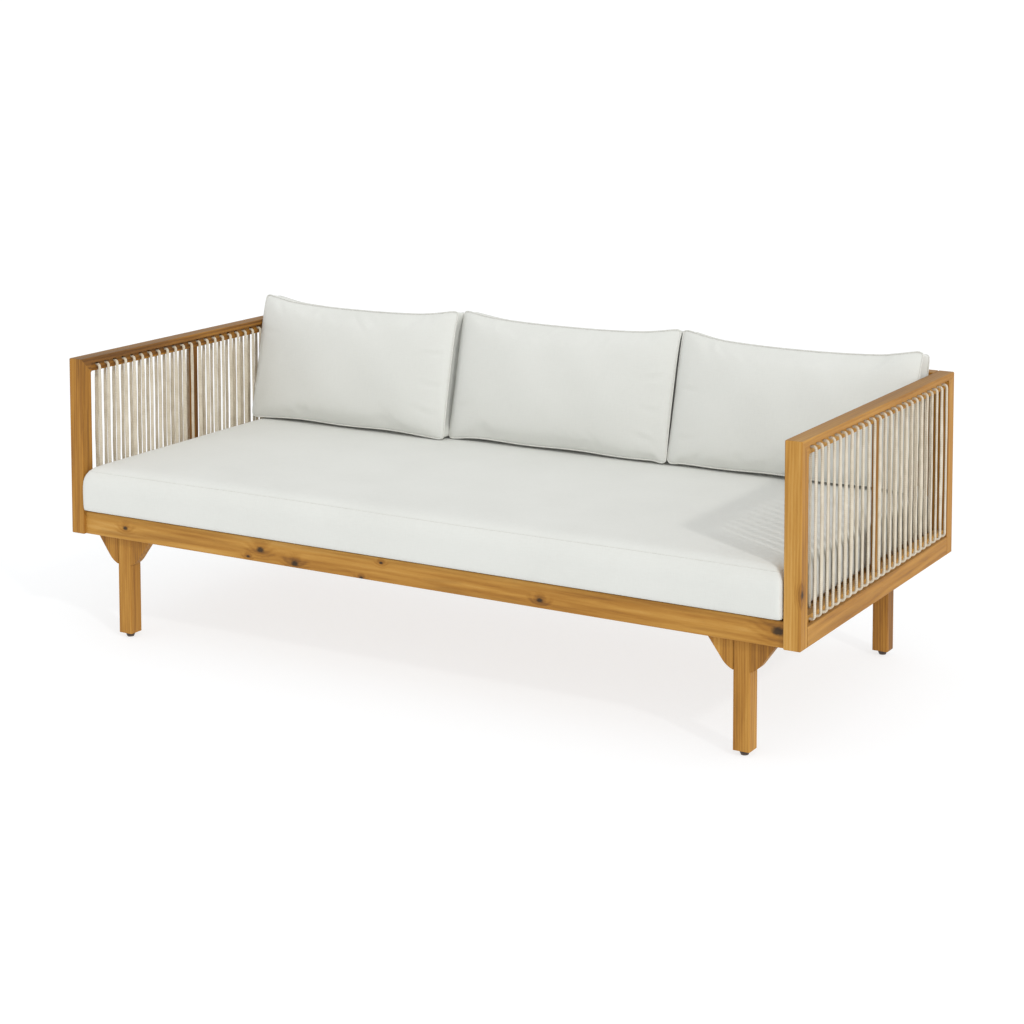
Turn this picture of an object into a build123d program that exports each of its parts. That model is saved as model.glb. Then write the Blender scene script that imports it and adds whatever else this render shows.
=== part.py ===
from build123d import *
import math
import os

os.makedirs("parts", exist_ok=True)

# Outdoor daybed, millimetres. +X is to the right of someone looking at the front, +Y is to
# the back, +Z is up. The origin is on the floor under the middle of the frame.

# Overall
LENGTH = 2000.0
DEPTH = 930.0
HEIGHT = 705.0
FRAME_BOTTOM = 258.0

# Rope panels: the two arms and the back
POST_WIDTH = 40.0
POST_DEPTH = 38.0
BACK_THICKNESS = 38.0
BACK_POST = 40.0
TOP_RAIL_HEIGHT = 38.0
TOP_RAIL_CAP = 15.0
LOWER_RAIL_BASE = 45.0
LOWER_RAIL_TONGUE = 17.0
STILE_WIDTH = 26.0
STILE_THICKNESS = 10.0
STILE_TENON = 5.0
BACK_STILES = 2
EDGE_ROUND = 3.0
CUT_OVERRUN = 1.0

# Rope
ROPE_DIAMETER = 9.0
ROPE_BEND = 6.5
STRAND_PITCH = 33.4
STRAND_MARGIN = 20.0
ARM_STRAND_SHIFT = 5.5
ROPE_HOLE = 11.0
HOLE_LIP = 0.5
ROPE_CLEARANCE = 1.0

# Seat frame
RAIL_THICKNESS = 18.0
RAIL_HEIGHT = 58.0
RAIL_RECESS = 9.0
SLAT_WIDTH = 60.0
SLAT_THICKNESS = 12.0
SLAT_PITCH = 104.0
LEDGER_SIZE = 24.0
JOINT_GAP = 0.2

# Legs
LEG_SIZE = 40.0
BRACKET_END_GAP = 5.6
BRACKET_REACH = 63.0
BRACKET_DROP = 70.0
BRACKET_THICKNESS = 24.0
BRACKET_BELLY = 26.0
BRACKET_KNEE = 19.5
GLIDE_HEIGHT = 12.0
GLIDE_RADIUS = 11.0
GLIDE_TIP_RADIUS = 8.5
GLIDE_PIN_RADIUS = 2.0
GLIDE_PIN_LENGTH = 16.0

# Fasteners
BOLT_RADIUS = 4.0
BOLT_HEAD_RADIUS = 7.0
BOLT_HEAD_HEIGHT = 6.0
BOLT_SOCKET_RADIUS = 2.8
BOLT_HEAD_CLEARANCE = 0.5
BOLT_CLEARANCE = 0.3
BOLT_END_GAP = 1.0
LEG_BOLT_SHARES = (0.25, 0.6)
ARM_BOLT_FROM_END = 111.6
BACK_BOLT_FROM_RAIL = 69.4
INSERT_RADIUS = 6.0
INSERT_LENGTH = 12.0
SCREW_RADIUS = 2.0
SCREW_HEAD_RADIUS = 3.8
SCREW_HEAD_HEIGHT = 2.4
SCREW_END_GAP = 1.0
BRACKET_SCREW_SHARES = (0.35, 0.75)
BRACKET_SCREW_LEVEL = 17.4
SLAT_SCREW_LENGTH = 30.0
BRACKET_SCREW_LENGTH = 38.0
DOWEL_RADIUS = 5.0
DOWEL_LENGTH = 30.0
FIT_CLEARANCE = 0.1

# Cushions
SEAT_THICKNESS = 114.0
SEAT_SIDE_GAP = 3.0
SEAT_FRONT_SETBACK = 0.0
SEAT_REAR_GAP = 4.0
SEAT_EDGE_ROUND = 24.0
CUSHION_REST_GAP = 0.6
CUSHION_COUNT = 3
CUSHION_SIDE_GAP = 3.0
CUSHION_HEIGHT = 330.0
CUSHION_EDGE = 60.0
CUSHION_CROWN = 125.0
CUSHION_LEAN = 15.0
CUSHION_BACK_GAP = 16.0
CUSHION_END_ROUND = 18.0

# Worked-out levels and places
SEAT_LEVEL = FRAME_BOTTOM + RAIL_HEIGHT
SLAT_UNDERSIDE = SEAT_LEVEL - SLAT_THICKNESS
RECESS_TOP = HEIGHT - TOP_RAIL_CAP
RAIL_UNDERSIDE = HEIGHT - TOP_RAIL_HEIGHT
LEDGE = FRAME_BOTTOM + LOWER_RAIL_BASE
TONGUE_TOP = LEDGE + LOWER_RAIL_TONGUE
UPPER_HOLE = RECESS_TOP - HOLE_LIP - ROPE_HOLE / 2
LOWER_HOLE = LEDGE + HOLE_LIP + ROPE_HOLE / 2

ARM_X = LENGTH / 2 - POST_WIDTH / 2
ARM_INNER = LENGTH / 2 - POST_WIDTH
BACK_Y = DEPTH / 2 - BACK_THICKNESS / 2
BACK_FACE = DEPTH / 2 - BACK_THICKNESS
FRONT_RAIL_FACE = -DEPTH / 2 + RAIL_RECESS
FRONT_RAIL_BACK = FRONT_RAIL_FACE + RAIL_THICKNESS
REAR_RAIL_BACK = BACK_FACE - JOINT_GAP
REAR_RAIL_FACE = REAR_RAIL_BACK - RAIL_THICKNESS
SIDE_RAIL_OUTER = ARM_INNER - JOINT_GAP
SIDE_RAIL_INNER = SIDE_RAIL_OUTER - RAIL_THICKNESS
BRACKET_END = SIDE_RAIL_INNER - BRACKET_END_GAP
LEG_X = BRACKET_END - BRACKET_REACH - JOINT_GAP - LEG_SIZE / 2
FRONT_LEG_Y = FRONT_RAIL_BACK + LEG_SIZE / 2
REAR_LEG_Y = REAR_RAIL_FACE - LEG_SIZE / 2
SEAT_MIDDLE = (FRONT_RAIL_BACK + REAR_RAIL_FACE) / 2
SEAT_TOP = SEAT_LEVEL + CUSHION_REST_GAP + SEAT_THICKNESS

SIDES = {"left": -1, "right": 1}
ROWS = {"front": -1, "rear": 1}


def block(x0, x1, y0, y1, z0, z1):
    """A box between two corners."""
    middle = Pos((x0 + x1) / 2, (y0 + y1) / 2, (z0 + z1) / 2)
    return middle * Box(abs(x1 - x0), abs(y1 - y0), abs(z1 - z0))


def rod(start, direction, radius, length):
    """A round rod that starts at a point and runs along a direction."""
    return extrude(Plane(start, z_dir=direction) * Circle(radius), length)


def soften(part, axis, radius=EDGE_ROUND):
    """Rounds the edges of a stick that run along one axis."""
    return fillet(part.edges().filter_by(axis), radius)


# A rope panel is drawn with its run along Y, its thickness along X and its middle at X = Y = 0,
# then placed. Each panel is a dictionary of its own sizes.

ARM_PANEL = {
    "span": DEPTH,
    "post": POST_DEPTH,
    "thickness": POST_WIDTH,
    "stiles": 1,
    "shift": ARM_STRAND_SHIFT,
}
BACK_PANEL = {
    "span": 2 * (ARM_INNER - JOINT_GAP),
    "post": BACK_POST,
    "thickness": BACK_THICKNESS,
    "stiles": BACK_STILES,
    "shift": 0.0,
}


def opening(panel):
    """Half the clear width between a panel's two posts."""
    return panel["span"] / 2 - panel["post"]


def strand_places(panel):
    """Where the upright strands stand along a panel's run."""
    room = 2 * opening(panel) - 2 * STRAND_MARGIN
    gaps = math.floor(room / STRAND_PITCH)
    return [(k - gaps / 2) * STRAND_PITCH + panel["shift"] for k in range(gaps + 1)]


def stile_places(panel):
    """Stiles divide the opening evenly."""
    step = 2 * opening(panel) / (panel["stiles"] + 1)
    return [-opening(panel) + step * (k + 1) for k in range(panel["stiles"])]


def tongue_half(panel):
    """Half the thickness of the narrowed strip that the rope lies against."""
    return panel["thickness"] / 2 - ROPE_DIAMETER - ROPE_CLEARANCE


def rope_offset(panel):
    """How far the middle of the rope stands from the middle of the panel."""
    return panel["thickness"] / 2 - ROPE_DIAMETER / 2


def dowel_places(panel):
    """Start point and direction of each dowel on the +Y half: one at the foot, one in the mitre."""
    run = panel["post"]
    foot = (0, opening(panel) - DOWEL_LENGTH / 2, FRAME_BOTTOM + LOWER_RAIL_BASE / 2)
    slope = math.hypot(run, TOP_RAIL_HEIGHT)
    across = (0, TOP_RAIL_HEIGHT / slope, -run / slope)
    middle = (opening(panel) + run / 2, HEIGHT - TOP_RAIL_HEIGHT / 2)
    mitre = (
        0,
        middle[0] - across[1] * DOWEL_LENGTH / 2,
        middle[1] - across[2] * DOWEL_LENGTH / 2,
    )
    return [(foot, (0, 1, 0)), (mitre, across)]


def dowels(panel, grow=0.0):
    """The dowels of one half of a panel, or with grow their holes."""
    return [
        rod(start, along, DOWEL_RADIUS + grow, DOWEL_LENGTH)
        for start, along in dowel_places(panel)
    ]


def half_mirror(parts, side):
    """Keeps pieces on the +Y half or mirrors them to the -Y half."""
    if side > 0:
        return parts
    return [mirror(part, about=Plane.XZ) for part in parts]


def eased_outline(panel):
    """The panel's whole block with its edges rounded, which posts and top rail are kept within."""
    half = panel["thickness"] / 2
    outer = panel["span"] / 2
    whole = block(-half, half, -outer, outer, FRAME_BOTTOM, HEIGHT)
    return fillet(whole.edges(), EDGE_ROUND)


def panel_post(panel, side):
    """Full-height post at one end, mitred to the top rail."""
    inner = opening(panel)
    outer = panel["span"] / 2
    outline = Polyline(
        (inner, FRAME_BOTTOM),
        (outer, FRAME_BOTTOM),
        (outer, HEIGHT),
        (inner, RAIL_UNDERSIDE),
        close=True,
    )
    post = extrude(Plane.YZ * make_face(outline), panel["thickness"] / 2, both=True)
    inner_edges = post.edges().filter_by(Axis.Z).group_by(Axis.Y)[0]
    post = fillet(inner_edges, EDGE_ROUND) & eased_outline(panel)
    post -= dowels(panel, FIT_CLEARANCE)
    return half_mirror([post], side)[0]


def cross_holes(panel, places, level):
    """Straight holes through a rail, one at each place."""
    width = panel["thickness"]
    return [rod((-width, y, level), (1, 0, 0), ROPE_HOLE / 2, 2 * width) for y in places]


def slanted_holes(panel, level):
    """Holes through the lower rail, each from behind one strand to in front of the next."""
    out = rope_offset(panel)
    places = strand_places(panel)
    return [
        rod(
            (-2 * out, here - (beyond - here) / 2, level),
            (2 * out, beyond - here, 0),
            ROPE_HOLE / 2,
            2 * math.hypot(2 * out, beyond - here),
        )
        for here, beyond in zip(places, places[1:])
    ]


def mortises(panel, level):
    """Slots for the stile tenons, centred on a rail's edge."""
    depth = STILE_TENON + FIT_CLEARANCE
    half_x = STILE_THICKNESS / 2 + FIT_CLEARANCE
    half_y = STILE_WIDTH / 2 - STILE_TENON + FIT_CLEARANCE
    return [
        block(-half_x, half_x, y - half_y, y + half_y, level - depth, level + depth)
        for y in stile_places(panel)
    ]


def panel_top_rail(panel):
    """Top rail, mitred at both ends, with a narrowed lower strip between the posts."""
    inner = opening(panel)
    outer = panel["span"] / 2
    half = panel["thickness"] / 2
    outline = Polyline(
        (-outer, HEIGHT),
        (outer, HEIGHT),
        (inner, RAIL_UNDERSIDE),
        (-inner, RAIL_UNDERSIDE),
        close=True,
    )
    rail = extrude(Plane.YZ * make_face(outline), half, both=True) & eased_outline(panel)
    for side in (-1, 1):
        face = side * tongue_half(panel)
        recess_start = RAIL_UNDERSIDE - CUT_OVERRUN
        rail -= block(face, side * 2 * half, -inner, inner, recess_start, RECESS_TOP)
        rail -= half_mirror(dowels(panel, FIT_CLEARANCE), side)
    rail -= cross_holes(panel, strand_places(panel), UPPER_HOLE)
    return rail - mortises(panel, RAIL_UNDERSIDE)


def panel_lower_rail(panel):
    """Bottom rail between the posts: a full-width base with a narrow tongue on top."""
    inner = opening(panel)
    half = panel["thickness"] / 2
    base = soften(block(-half, half, -inner, inner, FRAME_BOTTOM, LEDGE), Axis.Y)
    base_middle = FRAME_BOTTOM + LOWER_RAIL_BASE / 2
    tongue_face = tongue_half(panel)
    tongue = block(-tongue_face, tongue_face, -inner, inner, base_middle, TONGUE_TOP)
    rail = base + tongue
    for side in (-1, 1):
        rail -= half_mirror(dowels(panel, FIT_CLEARANCE), side)
    places = strand_places(panel)
    rail -= cross_holes(panel, (places[0], places[-1]), LOWER_HOLE)
    rail -= slanted_holes(panel, LOWER_HOLE)
    return rail - mortises(panel, TONGUE_TOP)


def panel_stile(panel, place):
    """Thin upright between the two layers of strands, tenoned into both rails."""
    half_x = STILE_THICKNESS / 2
    half_y = STILE_WIDTH / 2
    body = soften(block(-half_x, half_x, -half_y, half_y, TONGUE_TOP, RAIL_UNDERSIDE), Axis.Z)
    shoulder = half_y - STILE_TENON
    bottom = TONGUE_TOP - STILE_TENON
    top = RAIL_UNDERSIDE + STILE_TENON
    tenons = block(-half_x, half_x, -shoulder, shoulder, bottom, top)
    return Pos(0, place, 0) * (body + tenons)


def panel_rope(panel):
    """One rope wound up the +X side, down the -X side and on through the slanted holes."""
    out = rope_offset(panel)
    places = strand_places(panel)
    points = [(0, places[0], LOWER_HOLE)]
    for here in places:
        points += [(out, here, LOWER_HOLE), (out, here, UPPER_HOLE)]
        points += [(-out, here, UPPER_HOLE), (-out, here, LOWER_HOLE)]
    points.append((0, places[-1], LOWER_HOLE))
    route = FilletPolyline(*points, radius=ROPE_BEND)
    section = Plane(route @ 0, z_dir=route % 0) * Circle(ROPE_DIAMETER / 2)
    return sweep(section, path=route)


def place_arm(part, side):
    """Moves an arm panel's piece to the left or right end."""
    return Pos(side * ARM_X, 0, 0) * part


def place_back(part):
    """Turns a panel's piece to run along X and moves it to the back."""
    return Pos(0, BACK_Y, 0) * Rot(0, 0, -90) * part


# Bolts. Each is given by its place, the way it points and the wood it passes through.


def bolt_set(place, direction, grip):
    """A bolt whose head is sunk in the first piece and whose end turns in a threaded insert."""
    head_start = Vector(place)
    along = Vector(direction)
    shank_start = head_start + along * BOLT_HEAD_HEIGHT
    shank_length = grip - BOLT_HEAD_HEIGHT + INSERT_LENGTH - BOLT_END_GAP
    head = rod(head_start, along, BOLT_HEAD_RADIUS, BOLT_HEAD_HEIGHT)
    socket = rod(head_start, along, BOLT_SOCKET_RADIUS, BOLT_HEAD_HEIGHT / 2)
    return head - socket + rod(shank_start, along, BOLT_RADIUS, shank_length)


def bolt_hole(place, direction, grip):
    """Counterbore, clearance hole and insert hole for one bolt."""
    start = Vector(place)
    along = Vector(direction)
    mouth = start - along * CUT_OVERRUN
    counterbore_radius = BOLT_HEAD_RADIUS + BOLT_HEAD_CLEARANCE
    counterbore = rod(mouth, along, counterbore_radius, BOLT_HEAD_HEIGHT + CUT_OVERRUN)
    clearance = rod(start, along, BOLT_RADIUS + BOLT_CLEARANCE, grip)
    seat = rod(start + along * grip, along, INSERT_RADIUS + FIT_CLEARANCE, INSERT_LENGTH)
    return [counterbore, clearance, seat]


def insert(place, direction, grip):
    """Threaded insert let into the second piece."""
    start = Vector(place) + Vector(direction) * grip
    sleeve = rod(start, Vector(direction), INSERT_RADIUS, INSERT_LENGTH - FIT_CLEARANCE)
    return sleeve - rod(start, Vector(direction), BOLT_RADIUS + FIT_CLEARANCE, INSERT_LENGTH)


def leg_bolt_places():
    """Two bolts through each leg into the long rail behind which it stands."""
    levels = [FRAME_BOTTOM + RAIL_HEIGHT * share for share in LEG_BOLT_SHARES]
    places = []
    for x in (-LEG_X, LEG_X):
        for z in levels:
            places.append(((x, FRONT_RAIL_BACK + LEG_SIZE, z), (0, -1, 0), LEG_SIZE))
            places.append(((x, REAR_RAIL_FACE - LEG_SIZE, z), (0, 1, 0), LEG_SIZE))
    return places


def arm_bolt_places():
    """Three bolts through each side rail into the arm's bottom rail."""
    level = FRAME_BOTTOM + LOWER_RAIL_BASE / 2
    reach = DEPTH / 2 - ARM_BOLT_FROM_END
    grip = RAIL_THICKNESS + JOINT_GAP
    return [
        ((side * SIDE_RAIL_INNER, y, level), (side, 0, 0), grip)
        for side in (-1, 1)
        for y in (-reach, SEAT_MIDDLE + LEDGER_SIZE + 2 * BOLT_HEAD_RADIUS, reach)
    ]


def back_bolt_places():
    """Two bolts through each end post of the back into the arm's rear post."""
    levels = (TONGUE_TOP + BACK_BOLT_FROM_RAIL, RAIL_UNDERSIDE - BACK_BOLT_FROM_RAIL)
    start = ARM_INNER - JOINT_GAP - BACK_POST
    return [
        ((side * start, BACK_Y, level), (side, 0, 0), BACK_POST + JOINT_GAP)
        for side in (-1, 1)
        for level in levels
    ]


def bolt_holes(places):
    """All hole shapes of one set of bolts."""
    holes = []
    for place in places:
        holes += bolt_hole(*place)
    return holes


# Screws


def screw(place, direction, length):
    """Countersunk wood screw, its head flush at the given place."""
    start = Vector(place)
    along = Vector(direction)
    cone = extrude(
        Plane(start, z_dir=along) * Circle(SCREW_HEAD_RADIUS),
        SCREW_HEAD_HEIGHT,
        taper=math.degrees(math.atan((SCREW_HEAD_RADIUS - SCREW_RADIUS) / SCREW_HEAD_HEIGHT)),
    )
    return cone + rod(start + along * SCREW_HEAD_HEIGHT / 2, along, SCREW_RADIUS, length)


def screw_hole(place, direction, length):
    """Clearance for one screw and its head."""
    start = Vector(place)
    along = Vector(direction)
    head = rod(start, along, SCREW_HEAD_RADIUS + FIT_CLEARANCE, SCREW_HEAD_HEIGHT + FIT_CLEARANCE)
    depth = length + SCREW_HEAD_HEIGHT + SCREW_END_GAP
    return [head, rod(start, along, SCREW_RADIUS + FIT_CLEARANCE, depth)]


def screw_holes(places):
    """All hole shapes of one set of screws."""
    holes = []
    for place in places:
        holes += screw_hole(*place)
    return holes


def slat_places():
    """Middle of each slat along the bed."""
    room = 2 * SIDE_RAIL_INNER - SLAT_WIDTH - SLAT_WIDTH / 2
    gaps = math.floor(room / SLAT_PITCH)
    step = room / gaps
    return [(k - gaps / 2) * step for k in range(gaps + 1)]


def slat_screw_places():
    """One screw at each end of each slat, into what the slat rests on."""
    inset = LEDGER_SIZE / 2
    ends = (FRONT_RAIL_BACK + inset, REAR_RAIL_FACE - inset)
    return [((x, y, SEAT_LEVEL), (0, 0, -1), SLAT_SCREW_LENGTH) for x in slat_places() for y in ends]


def bracket_screw_places():
    """Two screws through each bracket into the rail in front of it."""
    places = []
    for side in (-1, 1):
        for x in (-LEG_X, LEG_X):
            for share in BRACKET_SCREW_SHARES:
                at = x + side * (LEG_SIZE / 2 + BRACKET_REACH * share)
                level = FRAME_BOTTOM + BRACKET_SCREW_LEVEL
                front = FRONT_RAIL_BACK + BRACKET_THICKNESS
                rear = REAR_RAIL_FACE - BRACKET_THICKNESS
                places.append(((at, front, level), (0, -1, 0), BRACKET_SCREW_LENGTH))
                places.append(((at, rear, level), (0, 1, 0), BRACKET_SCREW_LENGTH))
    return places


# Seat frame


def long_rail(face, back):
    """Front or rear rail between the arms."""
    reach = ARM_INNER - JOINT_GAP
    rail = soften(block(-reach, reach, face, back, FRAME_BOTTOM, SEAT_LEVEL), Axis.X)
    return rail - bolt_holes(leg_bolt_places()) - screw_holes(bracket_screw_places())


def side_rail(side):
    """Rail along the foot of an arm, between the long rails."""
    inner = side * SIDE_RAIL_INNER
    outer = side * SIDE_RAIL_OUTER
    near = FRONT_RAIL_BACK + JOINT_GAP
    far = REAR_RAIL_FACE - JOINT_GAP
    rail = soften(block(inner, outer, near, far, FRAME_BOTTOM, SEAT_LEVEL), Axis.Y)
    return rail - bolt_holes(arm_bolt_places())


def centre_rail():
    """Stiffener along the middle, under the slats."""
    reach = SIDE_RAIL_INNER - JOINT_GAP
    half = RAIL_THICKNESS / 2
    rail = block(-reach, reach, SEAT_MIDDLE - half, SEAT_MIDDLE + half, FRAME_BOTTOM, SLAT_UNDERSIDE)
    return soften(rail, Axis.X)


def ledger(row):
    """Batten on the inside of a long rail that carries the slat ends between the brackets."""
    reach = LEG_X - LEG_SIZE / 2 - BRACKET_REACH - JOINT_GAP
    if row < 0:
        near, far = FRONT_RAIL_BACK, FRONT_RAIL_BACK + LEDGER_SIZE
    else:
        near, far = REAR_RAIL_FACE - LEDGER_SIZE, REAR_RAIL_FACE
    batten = block(-reach, reach, near, far, SLAT_UNDERSIDE - LEDGER_SIZE, SLAT_UNDERSIDE)
    return batten - screw_holes(slat_screw_places())


def slats():
    """Slats from front to back, all alike."""
    near = FRONT_RAIL_BACK + JOINT_GAP
    far = REAR_RAIL_FACE - JOINT_GAP
    half = SLAT_WIDTH / 2
    blank = soften(block(-half, half, near, far, SLAT_UNDERSIDE, SEAT_LEVEL), Axis.Y)
    row = Part() + [Pos(x, 0, 0) * blank for x in slat_places()]
    return row - screw_holes(slat_screw_places())


# Legs


def leg(side, row):
    """Square leg, bolted behind a long rail and cut off under the slats."""
    x = side * LEG_X
    y = FRONT_LEG_Y if row < 0 else REAR_LEG_Y
    half = LEG_SIZE / 2
    post = soften(block(x - half, x + half, y - half, y + half, GLIDE_HEIGHT, SLAT_UNDERSIDE), Axis.Z)
    pin_depth = GLIDE_HEIGHT + GLIDE_PIN_LENGTH + CUT_OVERRUN
    post -= rod((x, y, 0), (0, 0, 1), GLIDE_PIN_RADIUS + FIT_CLEARANCE, pin_depth)
    return post - bolt_holes(leg_bolt_places()) - screw_holes(slat_screw_places())


def glide(side, row):
    """Plastic foot glide with a short stem pressed into the leg."""
    y = FRONT_LEG_Y if row < 0 else REAR_LEG_Y
    shoulder = GLIDE_HEIGHT / 2
    collar = Pos(0, 0, (shoulder + GLIDE_HEIGHT) / 2) * Cylinder(GLIDE_RADIUS, GLIDE_HEIGHT - shoulder)
    tip = Pos(0, 0, shoulder / 2) * Cone(GLIDE_TIP_RADIUS, GLIDE_RADIUS, shoulder)
    pin = rod((0, 0, GLIDE_HEIGHT / 2), (0, 0, 1), GLIDE_PIN_RADIUS, GLIDE_HEIGHT / 2 + GLIDE_PIN_LENGTH)
    return Pos(side * LEG_X, y, 0) * (collar + tip + pin)


def bracket_outline():
    """Shaped brace: a straight slope, then a round belly that meets the leg squarely."""
    top = SLAT_UNDERSIDE - FRAME_BOTTOM
    knee = (BRACKET_BELLY, -BRACKET_DROP + BRACKET_KNEE)
    slope = Line((BRACKET_REACH, 0), knee)
    belly = TangentArc(knee, (0, -BRACKET_DROP), tangent=slope % 1)
    rest = Polyline((0, -BRACKET_DROP), (0, top), (BRACKET_REACH, top), (BRACKET_REACH, 0))
    return make_face(slope + belly + rest)


def bracket(side, row, hand):
    """Brace on one side of a leg, flush with it and lapped behind the long rail."""
    blank = extrude(Plane.XZ * bracket_outline(), -BRACKET_THICKNESS)
    start = LEG_SIZE / 2 + JOINT_GAP
    brace = Pos(start, 0, FRAME_BOTTOM) * blank
    if hand < 0:
        brace = mirror(brace, about=Plane.YZ)
    face = FRONT_RAIL_BACK if row < 0 else REAR_RAIL_FACE - BRACKET_THICKNESS
    brace = Pos(side * LEG_X, face, 0) * brace
    return brace - screw_holes(bracket_screw_places()) - screw_holes(slat_screw_places())


# Cushions


def seat_cushion():
    """Mattress cushion over the whole seat."""
    reach = ARM_INNER - SEAT_SIDE_GAP
    front = -DEPTH / 2 + SEAT_FRONT_SETBACK
    bottom = SEAT_LEVEL + CUSHION_REST_GAP
    pad = block(-reach, reach, front, BACK_FACE - SEAT_REAR_GAP, bottom, SEAT_TOP)
    return fillet(pad.edges(), SEAT_EDGE_ROUND)


def back_cushion(place):
    """Crowned cushion that stands on the seat cushion and leans on the back."""
    width = 2 * (ARM_INNER - SEAT_SIDE_GAP) / CUSHION_COUNT - CUSHION_SIDE_GAP
    edge = CUSHION_EDGE / 2
    crown = CUSHION_CROWN / 2
    outline = (
        Line((-edge, 0), (edge, 0))
        + ThreePointArc((edge, 0), (crown, CUSHION_HEIGHT / 2), (edge, CUSHION_HEIGHT))
        + Line((edge, CUSHION_HEIGHT), (-edge, CUSHION_HEIGHT))
        + ThreePointArc((-edge, CUSHION_HEIGHT), (-crown, CUSHION_HEIGHT / 2), (-edge, 0))
    )
    pad = extrude(Plane.YZ * make_face(outline), width / 2, both=True)
    pad = fillet(pad.edges(), CUSHION_END_ROUND)
    pad = Rot(-CUSHION_LEAN, 0, 0) * pad
    box = pad.bounding_box()
    back = BACK_FACE - CUSHION_BACK_GAP - box.max.Y
    lift = SEAT_TOP + CUSHION_REST_GAP - box.min.Z
    step = width + CUSHION_SIDE_GAP
    return Pos((place - (CUSHION_COUNT - 1) / 2) * step, back, lift) * pad


# Everything, by name


def arm_nodes():
    """The pieces of both arms."""
    nodes = {}
    holes = bolt_holes(arm_bolt_places()) + bolt_holes(back_bolt_places())
    for name, side in SIDES.items():
        for row, end in ROWS.items():
            nodes[f"{name}_{row}_post"] = place_arm(panel_post(ARM_PANEL, end), side) - holes
        nodes[f"{name}_top_rail"] = place_arm(panel_top_rail(ARM_PANEL), side)
        nodes[f"{name}_bottom_rail"] = place_arm(panel_lower_rail(ARM_PANEL), side) - holes
        nodes[f"{name}_centre_stile"] = place_arm(panel_stile(ARM_PANEL, stile_places(ARM_PANEL)[0]), side)
        nodes[f"{name}_rope"] = place_arm(panel_rope(ARM_PANEL), side)
    return nodes


def back_nodes():
    """The pieces of the back."""
    nodes = {}
    holes = bolt_holes(back_bolt_places())
    for name, end in SIDES.items():
        nodes[f"back_{name}_post"] = place_back(panel_post(BACK_PANEL, end)) - holes
    nodes["back_top_rail"] = place_back(panel_top_rail(BACK_PANEL))
    nodes["back_bottom_rail"] = place_back(panel_lower_rail(BACK_PANEL))
    for number, place in enumerate(stile_places(BACK_PANEL), start=1):
        nodes[f"back_stile_{number}"] = place_back(panel_stile(BACK_PANEL, place))
    nodes["back_rope"] = place_back(panel_rope(BACK_PANEL))
    return nodes


def seat_nodes():
    """Rails, ledgers and slats."""
    return {
        "front_rail": long_rail(FRONT_RAIL_FACE, FRONT_RAIL_BACK),
        "rear_rail": long_rail(REAR_RAIL_FACE, REAR_RAIL_BACK),
        "left_side_rail": side_rail(-1),
        "right_side_rail": side_rail(1),
        "centre_rail": centre_rail(),
        "front_ledger": ledger(-1),
        "rear_ledger": ledger(1),
        "seat_slats": slats(),
    }


def leg_nodes():
    """Legs, their braces and foot glides."""
    nodes = {}
    for name, side in SIDES.items():
        for row, end in ROWS.items():
            nodes[f"{name}_{row}_leg"] = leg(side, end)
            nodes[f"{name}_{row}_glide"] = glide(side, end)
            for hand_name, hand in (("outer", side), ("inner", -side)):
                nodes[f"{name}_{row}_{hand_name}_bracket"] = bracket(side, end, hand)
    return nodes


def fastener_nodes():
    """Bolts, inserts, screws and dowels, each kind in one node."""
    pins = []
    for side in (-1, 1):
        pins += [place_back(pin) for pin in half_mirror(dowels(BACK_PANEL), side)]
        for end in (-1, 1):
            pins += [place_arm(pin, end) for pin in half_mirror(dowels(ARM_PANEL), side)]
    nodes = {"corner_dowels": pins}
    for kind, places in (
        ("leg", leg_bolt_places()),
        ("arm", arm_bolt_places()),
        ("back", back_bolt_places()),
    ):
        nodes[f"{kind}_bolts"] = [bolt_set(*place) for place in places]
        nodes[f"{kind}_bolt_inserts"] = [insert(*place) for place in places]
    nodes["slat_screws"] = [screw(*place) for place in slat_screw_places()]
    nodes["bracket_screws"] = [screw(*place) for place in bracket_screw_places()]
    return {name: Compound(children=parts) for name, parts in nodes.items()}


def cushion_nodes():
    """The seat cushion and the loose back cushions."""
    nodes = {"seat_cushion": seat_cushion()}
    for place, name in enumerate(("left", "centre", "right")):
        nodes[f"back_cushion_{name}"] = back_cushion(place)
    return nodes


for build in (arm_nodes, back_nodes, seat_nodes, leg_nodes, fastener_nodes, cushion_nodes):
    for name, shape in build().items():
        export_step(shape, f"parts/{name}.step")
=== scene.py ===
import math
import random

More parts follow.
